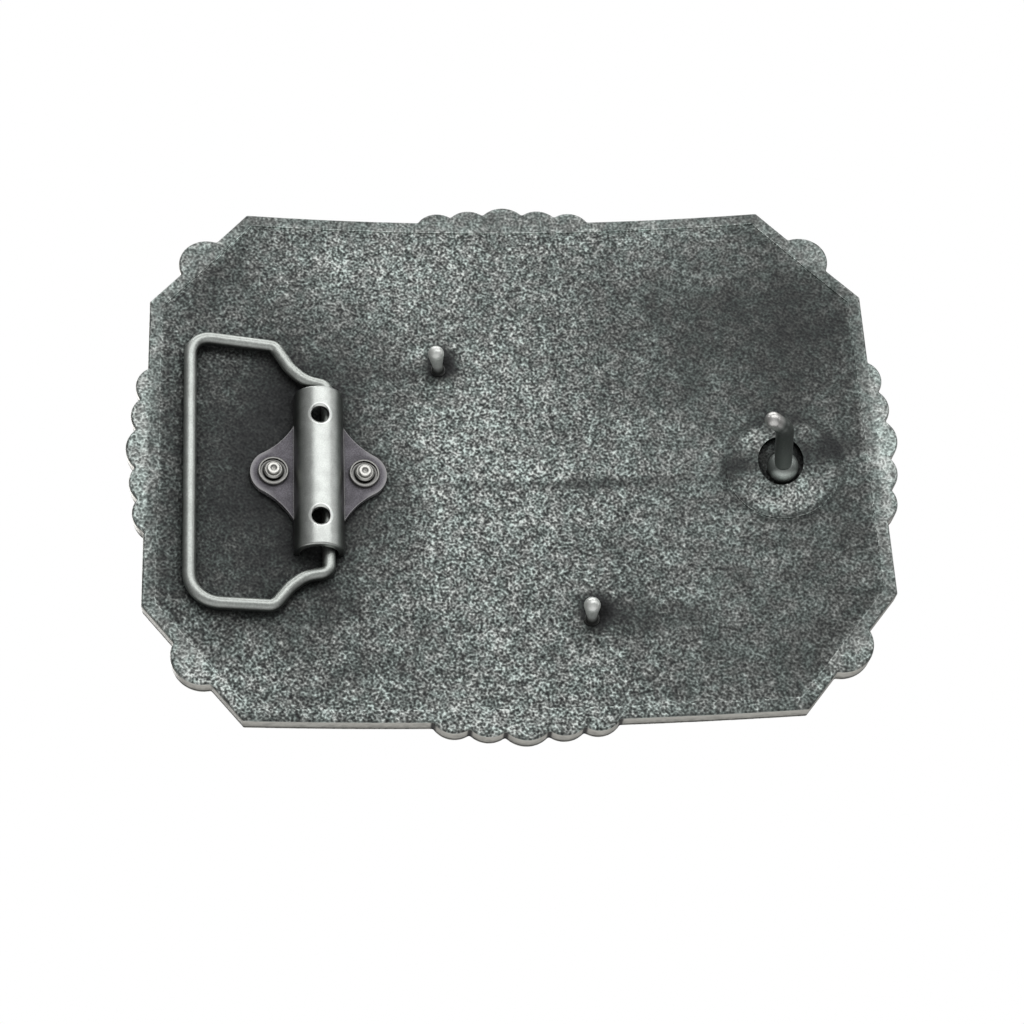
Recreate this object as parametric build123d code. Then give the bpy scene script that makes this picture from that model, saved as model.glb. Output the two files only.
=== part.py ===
from build123d import *
import os
from math import atan2, cos, radians, sin, sqrt

# Western belt buckle with a folding wire bale, as worn: +Z up, the ornamental front faces -Y,
# the back faces +Y. The origin is the middle of the plate's back face. Millimetres.

# ---- plate outline ----
HALF_WIDTH = 54.3            # straight side to the middle
HALF_HEIGHT = 41.6           # straight top edge to the middle
CORNER_X = 40.0              # where the corner cut leaves the top edge
CORNER_Z = 24.85             # where the corner cut meets the side
FAN_CUSPS = ((3.1, 1.45), (8.2, 1.0), (13.35, 0.0))     # along the edge, out from the edge
FAN_CRESTS = ((0.0, 2.85), (5.65, 2.25), (10.8, 1.65))  # highest point of each scallop
CORNER_LOBE_HALF = 4.0       # half the chord of the lobe on a corner cut
CORNER_LOBE_RISE = 2.55
OUTLINE_ROUND = 0.4          # every corner and cusp of the outline

# ---- plate body ----
BACK_RADIUS = 309.0          # the plate wraps round the waist about an upright axis
PLATE_THICKNESS = 2.0        # between the back field and the front field
FRONT_RADIUS = BACK_RADIUS + PLATE_THICKNESS
BACK_RIM_WIDTH = 1.9         # plain band that stands proud round the back field
BACK_RIM_HEIGHT = 0.2
BACK_RIM_RADIUS = BACK_RADIUS - BACK_RIM_HEIGHT
BACK_EDGE_ROUND = 0.35
SOLID_DEPTH = 25.0           # how far the outline is extruded before it is cut to the curve
SOLID_HEIGHT = 120.0

# ---- front relief, heights above the front face ----
RIM_WIDTH = 1.0
RIM_HEIGHT = 0.8
RIM_ROUND = 0.35
FRAME_INSET = 8.6
FRAME_WIDTH = 1.5
FRAME_HEIGHT = 0.75
PANEL_INSET = 11.4
PANEL_HEIGHT = 0.35
RELIEF_ROOT = 0.2            # relief pieces start this far inside the plate
PETAL_LENGTH = 6.6
PETAL_RADIUS = 1.45
PETAL_SPREAD = 0.86          # petal spacing against the spacing of the scallops
PETAL_LEAN = 7.0             # degrees, each petal against its neighbour
CORNER_BEAD_RADIUS = 2.2
CORNER_BEAD_OUT = 0.3        # bead centre beyond the middle of the corner cut
BEAD_SINK = 0.35             # beads and petals start this far behind the front field

# ---- hook ----
HOOK_X = -39.95
HOOK_Z = -3.2
HOOK_BOSS_RADIUS = 8.4
HOOK_BOSS_HEIGHT = 0.18
HOOK_WELL_HALF = (3.4, 4.0)  # half width and half height of the oval well
HOOK_WELL_SHIFT = (0.2, 1.1)  # its middle from the hook's: towards the bale, up
HOOK_WELL_DEPTH = 0.7
HOOK_FOOT_RADIUS = 2.3
HOOK_FOOT_EDGE = 0.5         # straight side of the foot above the back face
HOOK_FOOT_TOP = 2.0          # where the foot's shoulder meets the shank
HOOK_FOOT_TOP_RADIUS = 1.45  # leaves room for the shank's lean
HOOK_SHOULDER_BULGE = 0.25   # outward bow of the shoulder
HOOK_RADIUS = 1.3
HOOK_TIP_RADIUS = 1.2
HOOK_SHANK = 12.0            # straight length from the back face to the bend
HOOK_BEND_RADIUS = 3.5
HOOK_BEND = 32.0             # degrees, towards the bale
HOOK_TAPER = 0.5             # length after the bend where the wire thins
HOOK_TIP = 1.9               # straight length after the taper
HOOK_LEAN = 1.0              # degrees towards the bale, against the plate's own normal

# ---- belt pegs ----
UPPER_PEG = (11.0, 15.2, 7.0)      # x, z, degrees of lean towards the bale
LOWER_PEG = (-10.1, -26.1, 3.0)
PEG_HEAD_RADIUS = 1.2
PEG_HEAD_HEIGHT = 5.2        # middle of the head above the back face
PEG_FOOT_RADIUS = 1.1
PEG_FOOT_HEIGHT = 0.3
PEG_FLARE_RADIUS = 1.0       # wide end of the neck, just inside the foot
PEG_FLARE_START = 0.22
PEG_NECK_RADIUS = 0.72
PEG_NECK_HEIGHT = 1.3
PEG_SPIGOT_RADIUS = 0.7
PEG_SHOULDER_ANGLE = 14.0    # where the neck runs into the ball, below its middle

# ---- bale bracket: one pressed strip, a tunnel with two riveted ears ----
BRACKET_X = 29.25
BRACKET_Z = -3.1
BRACKET_LIFT = 0.17          # flat ears bridge the hollow of the curved back
SHEET = 0.9
TUNNEL_HALF_LENGTH = 12.9
TUNNEL_HALF_WIDTH = 3.7
TUNNEL_HEIGHT = 4.3
CREST_HOLE_RADIUS = 1.35
CREST_HOLE_BEVEL = 0.35
CREST_HOLE_OFFSET = 8.25
TUNNEL_END_ROUND = 0.3
EAR_CENTRE = 6.5
EAR_RADIUS = 3.55
EAR_ROOT_HALF = 8.5
EAR_TANGENT_ANGLE = 55.0     # where the straightish flank leaves the round of the ear
EAR_WAIST = (5.7, 5.0)       # a point on the hollow flank
RIVET_OFFSET = 6.7
RIVET_CLEARANCE = 0.1

# ---- rivets and their cupped washers ----
RIVET_RADIUS = 0.95
RIVET_SET_DEPTH = 1.2        # shank below the bracket's seat
RIVET_HEAD_RADIUS = 1.45
RIVET_HEAD = 0.7
RIVET_KNOB_RADIUS = 0.95
RIVET_KNOB = 0.45
RIVET_DIMPLE_RADIUS = 0.5
RIVET_DIMPLE = 0.25
RIVET_BEVEL = 0.25
WASHER_RADIUS = 2.25
WASHER_BORE_RADIUS = 1.0
WASHER_FLOOR = 0.3
WASHER_LIP = 0.6
WASHER_LIP_WIDTH = 0.4
WASHER_BEVEL = 0.1
WASHER_GAP = 0.005           # under and over the washer's floor

# ---- bale loop: one bent round wire ----
WIRE_RADIUS = 0.95
BALE_AXIS_X = 27.9           # the wire ends lie on the inner side of the tunnel
WIRE_GAP = 0.3               # wire to back face when folded
BALE_REACH = 20.2            # hinge axis to the middle of the long bar, measured at its middle
UPPER_REACH = 20.45          # the same at the bar's upper end: the bar isn't quite upright
LOWER_REACH = 19.95
UPPER_ARM = (20.75, 21.85)   # middle of the loop to the middle of the arm, at its neck and at the bar
LOWER_ARM = (21.5, 21.2)
STUB_END = 6.0               # inner end of each wire end, from the bracket's middle
UPPER_NECK = 14.4
LOWER_NECK = 16.0
NECK_FOOT = (3.4, 0.7)       # out from the axis, beyond the neck's own height
UPPER_NECK_TURN = (5.6, 2.75)
LOWER_NECK_TURN = (5.6, 2.5)
NECK_ARM_X = 7.9             # where an arm turns down into its neck
STUB_BEND = 1.4
NECK_BEND = 5.0
ARM_BEND = 1.6
UPPER_CORNER = 2.8
LOWER_CORNER = 4.6

FIT_GAP = 0.02               # radial gap round every set pin
PIN_DEPTH = 1.1              # blind holes of the hook and pegs, into the back field

# ---- helpers for building ----
UPRIGHT = (Align.CENTER, Align.CENTER, Align.MIN)
CUT_CLEARANCE = 5.0          # cutters run this far past the surface they cut


def back_y(x):
    """Depth of the plate's back face at a distance x from the middle."""
    return BACK_RADIUS - sqrt(BACK_RADIUS**2 - x**2)


def back_plane(x, z, lift=0.0):
    """Local frame on the back face: x towards the wearer's right, y up, z away from the plate."""
    turn = atan2(x, BACK_RADIUS - back_y(x))
    normal = Vector(-sin(turn), cos(turn), 0)
    origin = Vector(x, back_y(x), z) + normal * lift
    return Plane(origin=origin, x_dir=(-cos(turn), -sin(turn), 0), z_dir=normal)


def shell(inner_radius, outer_radius):
    """Upright ring about the axis that the plate curves round."""
    ring = Cylinder(outer_radius, SOLID_HEIGHT) - Cylinder(inner_radius, SOLID_HEIGHT)
    return Pos(0, BACK_RADIUS, 0) * ring


def curved_layer(face, inner_radius, outer_radius):
    """The face's shape as a slab that follows the plate's curve."""
    column = extrude(Plane.XZ * face, amount=SOLID_DEPTH, both=True)
    return column & shell(inner_radius, outer_radius)


def edge_arcs(start, along, out, cusps, crests):
    """Scallops of one edge: cusps and crests run in order, in edge coordinates."""
    def place(point):
        return start + along * point[0] + out * point[1]

    ends = [place(p) for p in cusps]
    tops = [place(p) for p in crests]
    return [ThreePointArc(a, top, b) for a, top, b in zip(ends, tops, ends[1:])], ends


def fan_points():
    """Cusps and crests of a whole five-scallop fan, from one side to the other."""
    cusps = [(-s, o) for s, o in reversed(FAN_CUSPS)] + list(FAN_CUSPS)
    crests = [(-s, o) for s, o in reversed(FAN_CRESTS[1:])] + list(FAN_CRESTS)
    return cusps, crests


def outline_face():
    """Octagon with a fan on each side and a lobe on each corner cut, clockwise."""
    corners = [
        Vector(-CORNER_X, HALF_HEIGHT), Vector(CORNER_X, HALF_HEIGHT),
        Vector(HALF_WIDTH, CORNER_Z), Vector(HALF_WIDTH, -CORNER_Z),
        Vector(CORNER_X, -HALF_HEIGHT), Vector(-CORNER_X, -HALF_HEIGHT),
        Vector(-HALF_WIDTH, -CORNER_Z), Vector(-HALF_WIDTH, CORNER_Z),
    ]
    lobe = ([(-CORNER_LOBE_HALF, 0), (CORNER_LOBE_HALF, 0)], [(0, CORNER_LOBE_RISE)])
    edges = []
    for i, corner in enumerate(corners):
        following = corners[(i + 1) % len(corners)]
        along = (following - corner).normalized()
        out = Vector(-along.Y, along.X)
        cusps, crests = fan_points() if i % 2 == 0 else lobe
        arcs, ends = edge_arcs((corner + following) / 2, along, out, cusps, crests)
        edges += [Line(corner, ends[0]), *arcs, Line(ends[-1], following)]
    sharp = make_face(edges)
    return fillet(sharp.vertices(), OUTLINE_ROUND)


def octagon_face(inset):
    """The plain octagon without scallops, drawn in by an equal margin."""
    points = [(-CORNER_X, HALF_HEIGHT), (CORNER_X, HALF_HEIGHT), (HALF_WIDTH, CORNER_Z),
              (HALF_WIDTH, -CORNER_Z), (CORNER_X, -HALF_HEIGHT), (-CORNER_X, -HALF_HEIGHT),
              (-HALF_WIDTH, -CORNER_Z), (-HALF_WIDTH, CORNER_Z)]
    octagon = make_face(Polyline(*points, close=True))
    return offset(octagon, amount=-inset, kind=Kind.INTERSECTION)


def octagon_ring(inset, width):
    return octagon_face(inset) - octagon_face(inset + width)


def half_petal():
    """Half of a pointed petal: lies on the XY plane, pointed at both ends along Y."""
    half = PETAL_LENGTH / 2
    outline = make_face([
        ThreePointArc((0, -half), (PETAL_RADIUS, 0), (0, half)),
        Line((0, half), (0, -half)),
    ])
    return revolve(outline, axis=Axis.Y, revolution_arc=-180)


def front_plane(x, z, angle=0.0):
    """Local frame just behind the front field: z out of the front, y turned clockwise from up."""
    turn = atan2(x, BACK_RADIUS)
    normal = Vector(sin(turn), -cos(turn), 0)
    radius = FRONT_RADIUS - BEAD_SINK
    origin = Vector(radius * sin(turn), BACK_RADIUS - radius * cos(turn), z)
    return Plane(origin=origin, x_dir=(cos(turn), sin(turn), 0), z_dir=normal) * Rot(0, 0, -angle)


def petals():
    """Five petals behind the scallops of each of the four fans."""
    petal = half_petal()
    placed = []
    for side_angle, half_size in ((0, HALF_HEIGHT), (90, HALF_WIDTH), (180, HALF_HEIGHT), (270, HALF_WIDTH)):
        side = radians(side_angle)
        for i in range(-2, 3):
            crest_along, crest_out = FAN_CRESTS[abs(i)]
            along = crest_along * PETAL_SPREAD * (1 if i > 0 else -1)
            outward = half_size + crest_out - RIM_WIDTH - PETAL_LENGTH / 2
            x = along * cos(side) + outward * sin(side)
            z = outward * cos(side) - along * sin(side)
            placed.append(front_plane(x, z, side_angle + PETAL_LEAN * i) * petal)
    return placed


def corner_beads():
    """A round bead behind each corner lobe."""
    cut = Vector(HALF_WIDTH - CORNER_X, CORNER_Z - HALF_HEIGHT).normalized()
    middle = Vector((CORNER_X + HALF_WIDTH) / 2, (HALF_HEIGHT + CORNER_Z) / 2)
    middle += Vector(-cut.Y, cut.X) * CORNER_BEAD_OUT
    bead = Sphere(CORNER_BEAD_RADIUS, arc_size1=0)
    return [front_plane(sx * middle.X, sz * middle.Y) * bead for sx in (-1, 1) for sz in (-1, 1)]


def pin_hole(plane, radius, depth):
    """Round cutter from well above the plane down to a depth below it."""
    return plane * Pos(0, 0, -depth) * Cylinder(radius, depth + CUT_CLEARANCE, align=UPRIGHT)


def largest_faces(solid):
    """The front and back faces of a curved slab, front first."""
    two = sorted(solid.faces(), key=lambda face: -face.area)[:2]
    return sorted(two, key=lambda face: face.center().Y)


def plate_blank():
    """The curved slab with its rounded edges, and the hollow inside the scalloped front rim."""
    blank = curved_layer(outline_face(), BACK_RIM_RADIUS, FRONT_RADIUS + RIM_HEIGHT)
    blank = fillet(largest_faces(blank)[0].edges(), RIM_ROUND)
    blank = fillet(largest_faces(blank)[1].edges(), BACK_EDGE_ROUND)
    return blank - curved_layer(octagon_face(RIM_WIDTH), FRONT_RADIUS, FRONT_RADIUS + CUT_CLEARANCE)


def front_relief():
    """Raised frame, raised middle panel, fan petals and corner beads."""
    root = FRONT_RADIUS - RELIEF_ROOT
    frame = curved_layer(octagon_ring(FRAME_INSET, FRAME_WIDTH), root, FRONT_RADIUS + FRAME_HEIGHT)
    panel = curved_layer(octagon_face(PANEL_INSET), root, FRONT_RADIUS + PANEL_HEIGHT)
    return [frame, panel, *petals(), *corner_beads()]


def hook_well():
    """Cutter for the oval well that the hook's foot stands in."""
    well = back_plane(HOOK_X + HOOK_WELL_SHIFT[0], HOOK_Z + HOOK_WELL_SHIFT[1])
    oval = extrude(Ellipse(*HOOK_WELL_HALF), amount=HOOK_WELL_DEPTH + CUT_CLEARANCE)
    return well * Pos(0, 0, -HOOK_WELL_DEPTH) * oval


def make_plate():
    """One casting: curved plate, sunk back field, hook boss, front relief and blind holes."""
    field = curved_layer(octagon_face(BACK_RIM_WIDTH), BACK_RADIUS - 1, BACK_RADIUS)
    boss_face = Pos(HOOK_X, HOOK_Z) * Circle(HOOK_BOSS_RADIUS)
    boss = curved_layer(boss_face, BACK_RADIUS - HOOK_BOSS_HEIGHT, BACK_RADIUS + RELIEF_ROOT)
    plate = plate_blank() - field + boss
    for piece in front_relief():
        plate += piece
    plate -= hook_well()
    plate -= pin_hole(back_plane(HOOK_X, HOOK_Z), HOOK_RADIUS + FIT_GAP, PIN_DEPTH)
    for x, z, _ in (UPPER_PEG, LOWER_PEG):
        plate -= pin_hole(back_plane(x, z), PEG_SPIGOT_RADIUS + FIT_GAP, PIN_DEPTH)
    for place in rivet_places():
        plate -= place * pin_hole(Plane.XY, RIVET_RADIUS + FIT_GAP, RIVET_SET_DEPTH + FIT_GAP)
    return plate


def revolved(points):
    """Solid of revolution about Z from a closed outline of (radius, height) points."""
    return revolve(Plane.XZ * make_face(Polyline(*points, close=True)), axis=Axis.Z)


def hook_frame():
    """Frame at the hook's foot, x towards the bale, z along the leaning shank."""
    foot = back_plane(HOOK_X, HOOK_Z)
    return Plane(origin=foot.origin, x_dir=-foot.x_dir, z_dir=foot.z_dir) * Rot(0, HOOK_LEAN, 0)


def make_hook():
    """Bent hook: spigot and shouldered foot in the plate's well, shank, bend and domed tip."""
    shoulder_radius = (HOOK_FOOT_RADIUS + HOOK_FOOT_TOP_RADIUS) / 2 + HOOK_SHOULDER_BULGE
    shoulder = (shoulder_radius, (HOOK_FOOT_EDGE + HOOK_FOOT_TOP) / 2)
    foot = revolve(Plane.XZ * make_face([
        Line((0, -HOOK_WELL_DEPTH), (HOOK_FOOT_RADIUS, -HOOK_WELL_DEPTH)),
        Line((HOOK_FOOT_RADIUS, -HOOK_WELL_DEPTH), (HOOK_FOOT_RADIUS, HOOK_FOOT_EDGE)),
        ThreePointArc((HOOK_FOOT_RADIUS, HOOK_FOOT_EDGE), shoulder, (HOOK_FOOT_TOP_RADIUS, HOOK_FOOT_TOP)),
        Line((HOOK_FOOT_TOP_RADIUS, HOOK_FOOT_TOP), (0, HOOK_FOOT_TOP)),
        Line((0, HOOK_FOOT_TOP), (0, -HOOK_WELL_DEPTH)),
    ]), axis=Axis.Z)
    spigot = Pos(0, 0, -PIN_DEPTH + FIT_GAP) * Cylinder(HOOK_RADIUS, PIN_DEPTH, align=UPRIGHT)
    shank = Cylinder(HOOK_RADIUS, HOOK_SHANK, align=UPRIGHT)
    bend_axis = Axis((HOOK_BEND_RADIUS, 0, HOOK_SHANK), (0, 1, 0))
    bend = revolve(Pos(0, 0, HOOK_SHANK) * Circle(HOOK_RADIUS), axis=bend_axis, revolution_arc=HOOK_BEND)
    upright = back_plane(HOOK_X, HOOK_Z)
    return upright * (foot + spigot) + hook_frame() * (shank + bend + hook_tip())


def hook_tip():
    """Short taper after the bend, straight tip and dome, in the hook's frame."""
    angle = radians(HOOK_BEND)
    start = Vector(HOOK_BEND_RADIUS * (1 - cos(angle)), 0, HOOK_SHANK + HOOK_BEND_RADIUS * sin(angle))
    straight_end = HOOK_TAPER + HOOK_TIP
    tip = revolve(Plane.XZ * make_face([
        Line((0, 0), (HOOK_RADIUS, 0)),
        Line((HOOK_RADIUS, 0), (HOOK_TIP_RADIUS, HOOK_TAPER)),
        Line((HOOK_TIP_RADIUS, HOOK_TAPER), (HOOK_TIP_RADIUS, straight_end)),
        RadiusArc((HOOK_TIP_RADIUS, straight_end), (0, straight_end + HOOK_TIP_RADIUS), -HOOK_TIP_RADIUS),
        Line((0, straight_end + HOOK_TIP_RADIUS), (0, 0)),
    ]), axis=Axis.Z)
    return Plane(start, x_dir=(cos(angle), 0, -sin(angle)), z_dir=(sin(angle), 0, cos(angle))) * tip


def make_peg(x, z, lean):
    """Peg with a tapered neck and a ball head, set in a blind hole."""
    spigot = Pos(0, 0, -PIN_DEPTH + FIT_GAP) * Cylinder(PEG_SPIGOT_RADIUS, PIN_DEPTH, align=UPRIGHT)
    head = Pos(0, 0, PEG_HEAD_HEIGHT) * Sphere(PEG_HEAD_RADIUS)
    shoulder_angle = radians(PEG_SHOULDER_ANGLE)
    foot = Cylinder(PEG_FOOT_RADIUS, PEG_FOOT_HEIGHT, align=UPRIGHT)
    neck = revolved([
        (0, PEG_FLARE_START), (PEG_FLARE_RADIUS, PEG_FLARE_START), (PEG_NECK_RADIUS, PEG_NECK_HEIGHT),
        (PEG_HEAD_RADIUS * cos(shoulder_angle), PEG_HEAD_HEIGHT - PEG_HEAD_RADIUS * sin(shoulder_angle)),
        (0, PEG_HEAD_HEIGHT),
    ])
    return back_plane(x, z) * (spigot + foot + Rot(0, -lean, 0) * (neck + head))


def bracket_plane():
    return back_plane(BRACKET_X, BRACKET_Z, BRACKET_LIFT)


def rivet_places():
    """Frames of the two rivets: on the bracket's seat, one on each ear."""
    return [bracket_plane() * Pos(side * RIVET_OFFSET, 0, 0) for side in (-1, 1)]


def arch(half_width, height):
    """Upright-sided arch in the XZ plane, standing on X."""
    spring = height - half_width
    return make_face([
        Line((-half_width, 0), (-half_width, spring)),
        ThreePointArc((-half_width, spring), (0, height), (half_width, spring)),
        Line((half_width, spring), (half_width, 0)),
        Line((half_width, 0), (-half_width, 0)),
    ])


def ear_face():
    """Both ears in one outline: round ends, hollow flanks down to the tunnel."""
    angle = radians(EAR_TANGENT_ANGLE)
    leave = Vector(EAR_CENTRE + EAR_RADIUS * cos(angle), EAR_RADIUS * sin(angle))
    root_x = TUNNEL_HALF_WIDTH - SHEET / 2
    root = Vector(root_x, EAR_ROOT_HALF)
    tip = Vector(EAR_CENTRE + EAR_RADIUS, 0)
    flank = ThreePointArc(root, EAR_WAIST, leave)
    half_round = ThreePointArc(leave, tip, (leave.X, -leave.Y))
    lower = ThreePointArc((leave.X, -leave.Y), (EAR_WAIST[0], -EAR_WAIST[1]), (root_x, -EAR_ROOT_HALF))
    inner = Line((root_x, -EAR_ROOT_HALF), root)
    ear = make_face([flank, half_round, lower, inner])
    return ear + mirror(ear, about=Plane.YZ)


def make_bracket():
    """Pressed tunnel with two riveted ears and two bevelled holes in its crest."""
    outer = arch(TUNNEL_HALF_WIDTH, TUNNEL_HEIGHT)
    inner = arch(TUNNEL_HALF_WIDTH - SHEET, TUNNEL_HEIGHT - SHEET)
    tunnel = extrude(Plane.XZ * (outer - inner), amount=TUNNEL_HALF_LENGTH, both=True)
    tunnel = fillet(tunnel_end_edges(tunnel), TUNNEL_END_ROUND)
    ears = extrude(ear_face(), amount=SHEET)
    bracket = tunnel + ears
    for side in (-1, 1):
        at_crest = Pos(0, side * CREST_HOLE_OFFSET, TUNNEL_HEIGHT)
        bracket -= at_crest * Cylinder(CREST_HOLE_RADIUS, CUT_CLEARANCE)
        bevel = Cone(CREST_HOLE_RADIUS, CREST_HOLE_RADIUS + CREST_HOLE_BEVEL, CREST_HOLE_BEVEL)
        bracket -= at_crest * Pos(0, 0, -CREST_HOLE_BEVEL / 2) * bevel
        bracket -= Pos(side * RIVET_OFFSET, 0, 0) * Cylinder(RIVET_RADIUS + RIVET_CLEARANCE, CUT_CLEARANCE)
    return bracket_plane() * bracket


def tunnel_end_edges(tunnel):
    """Outer arc edges at the two open ends of the tunnel."""
    arcs = tunnel.edges().filter_by(GeomType.CIRCLE)
    return [edge for edge in arcs if abs(edge.radius - TUNNEL_HALF_WIDTH) < FIT_GAP]


def make_rivets():
    """Shank through ear and washer, round head, and a small dimpled knob on top."""
    seat = SHEET + WASHER_FLOOR
    head_top = seat + RIVET_HEAD
    knob_top = head_top + RIVET_KNOB
    outline = [
        (0, -RIVET_SET_DEPTH), (RIVET_RADIUS, -RIVET_SET_DEPTH), (RIVET_RADIUS, seat),
        (RIVET_HEAD_RADIUS, seat), (RIVET_HEAD_RADIUS, head_top - RIVET_BEVEL),
        (RIVET_HEAD_RADIUS - RIVET_BEVEL, head_top), (RIVET_KNOB_RADIUS, head_top),
        (RIVET_KNOB_RADIUS, knob_top - RIVET_BEVEL / 2), (RIVET_KNOB_RADIUS - RIVET_BEVEL / 2, knob_top),
        (RIVET_DIMPLE_RADIUS, knob_top), (0, knob_top - RIVET_DIMPLE),
    ]
    rivet = revolved(outline)
    return [place * rivet for place in rivet_places()]


def make_washers():
    """Cupped washers: flat floor on the ear and a raised outer lip."""
    base = SHEET + WASHER_GAP
    floor = SHEET + WASHER_FLOOR - WASHER_GAP
    lip_top = SHEET + WASHER_LIP
    lip_inner = WASHER_RADIUS - WASHER_LIP_WIDTH
    outline = [
        (WASHER_BORE_RADIUS, base), (WASHER_RADIUS, base), (WASHER_RADIUS, lip_top - WASHER_BEVEL),
        (WASHER_RADIUS - WASHER_BEVEL, lip_top), (lip_inner + WASHER_BEVEL, lip_top),
        (lip_inner, floor), (WASHER_BORE_RADIUS, floor),
    ]
    washer = revolved(outline)
    return [place * washer for place in rivet_places()]


def bale_plane():
    """Frame of the folded loop: origin on the hinge axis, x out to the long bar, y up."""
    axis_point = back_plane(BALE_AXIS_X, BRACKET_Z, WIRE_RADIUS + WIRE_GAP).origin
    bar_x = BALE_AXIS_X + BALE_REACH
    bar_point = back_plane(bar_x, BRACKET_Z, WIRE_RADIUS + WIRE_GAP).origin
    out = (bar_point - axis_point).normalized()
    return Plane(origin=axis_point, x_dir=out, z_dir=out.cross(Vector(0, 0, 1)))


def make_bale_loop():
    """One bent wire: two ends on the hinge axis, two necks, two arms and the long bar."""
    points = [
        (0, STUB_END), (0, UPPER_NECK),
        (NECK_FOOT[0], UPPER_NECK + NECK_FOOT[1]),
        (UPPER_NECK_TURN[0], UPPER_NECK + UPPER_NECK_TURN[1]),
        (NECK_ARM_X, UPPER_ARM[0]), (UPPER_REACH, UPPER_ARM[1]),
        (LOWER_REACH, -LOWER_ARM[1]), (NECK_ARM_X, -LOWER_ARM[0]),
        (LOWER_NECK_TURN[0], -LOWER_NECK - LOWER_NECK_TURN[1]),
        (NECK_FOOT[0], -LOWER_NECK - NECK_FOOT[1]),
        (0, -LOWER_NECK), (0, -STUB_END),
    ]
    bends = [STUB_BEND, NECK_BEND, NECK_BEND, ARM_BEND, UPPER_CORNER,
             LOWER_CORNER, ARM_BEND, NECK_BEND, NECK_BEND, STUB_BEND]
    path = FilletPolyline(*points, radius=bends)
    section = Plane(path @ 0, z_dir=path % 0) * Circle(WIRE_RADIUS)
    wire = sweep(section, path=path)
    return bale_plane() * wire


def write(name, shapes):
    export_step(Compound(children=list(shapes)), f"parts/{name}.step")


os.makedirs("parts", exist_ok=True)
write("buckle_plate", [make_plate()])
write("belt_hook", [make_hook()])
write("upper_peg", [make_peg(*UPPER_PEG)])
write("lower_peg", [make_peg(*LOWER_PEG)])
write("bale_bracket", [make_bracket()])
write("bracket_rivets", make_rivets())
write("rivet_washers", make_washers())
write("bale_loop", [make_bale_loop()])
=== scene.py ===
from math import atan2, cos, hypot, pi, sin, sqrt

import bmesh
import bpy
from mathutils import Matrix, Vector


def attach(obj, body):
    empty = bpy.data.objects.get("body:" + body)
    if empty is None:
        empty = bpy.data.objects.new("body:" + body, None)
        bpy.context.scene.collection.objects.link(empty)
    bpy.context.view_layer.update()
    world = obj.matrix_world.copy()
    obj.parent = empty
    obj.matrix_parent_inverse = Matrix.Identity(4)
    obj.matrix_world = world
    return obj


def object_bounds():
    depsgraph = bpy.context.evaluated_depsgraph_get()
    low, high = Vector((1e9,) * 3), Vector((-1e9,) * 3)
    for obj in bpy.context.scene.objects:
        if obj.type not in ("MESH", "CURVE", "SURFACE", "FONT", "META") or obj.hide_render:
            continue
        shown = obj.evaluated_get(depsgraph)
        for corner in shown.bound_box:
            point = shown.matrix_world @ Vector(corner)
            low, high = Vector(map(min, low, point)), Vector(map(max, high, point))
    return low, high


# Western belt buckle seen from the back: materials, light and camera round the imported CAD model,
# and four ornament pieces on its front.
# Everything is in metres, in the model's frame: +Z up, the back faces +Y, the folded bale is at +X.
# Sizes below and in the materials are in millimetres unless a comment says otherwise.

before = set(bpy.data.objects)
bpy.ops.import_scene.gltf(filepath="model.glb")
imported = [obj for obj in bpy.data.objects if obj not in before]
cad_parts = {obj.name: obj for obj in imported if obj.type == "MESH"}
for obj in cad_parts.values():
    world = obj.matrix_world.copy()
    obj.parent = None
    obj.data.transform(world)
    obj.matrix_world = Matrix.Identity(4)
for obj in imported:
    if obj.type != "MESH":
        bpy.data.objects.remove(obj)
cad_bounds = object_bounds()
MM = 0.001

# ---- plate and hook, as in the CAD model; radii are from the axis that the plate curves round ----
BACK_RADIUS = 309.0
FRONT_RADIUS = 311.0
PANEL_RADIUS = 311.35
FRAME_RADIUS = 311.75
HALF_WIDTH = 54.3
HALF_HEIGHT = 41.6
CORNER_X = 40.0
CORNER_Z = 24.85
BAND_EDGE = -1.9             # inner edge of the plain band, from the octagon's edge
FAN_NOTCHES = (3.1, 8.2, 13.35)   # either side of the middle, top and bottom
HOOK = (-39.95, -3.2)
HOOK_BOSS_RADIUS = 8.4
HOOK_WELL_REACH = 5.6        # the well lies inside this distance of the hook
HOOK_FOOT_TOP = 3.9          # y where the shouldered foot ends
HOOK_TIP = (-36.45, 17.32, -3.2)
HOOK_TIP_AXIS = (0.6485, 0.7612, 0.0)

# ---- bale bracket, as in the CAD model ----
BRACKET_MIDDLE = (29.23, 1.557, -3.1)
BRACKET_ACROSS = (-0.9955, -0.0947, 0.0)
TUNNEL_HALF_WIDTH = 3.7
CREST_HOLE_OFFSET = 8.25
CREST_HOLE_RADIUS = 1.35
EAR_CENTRE = 6.5
EAR_RADIUS = 3.55
RIVET_OFFSET = 6.7

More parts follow.
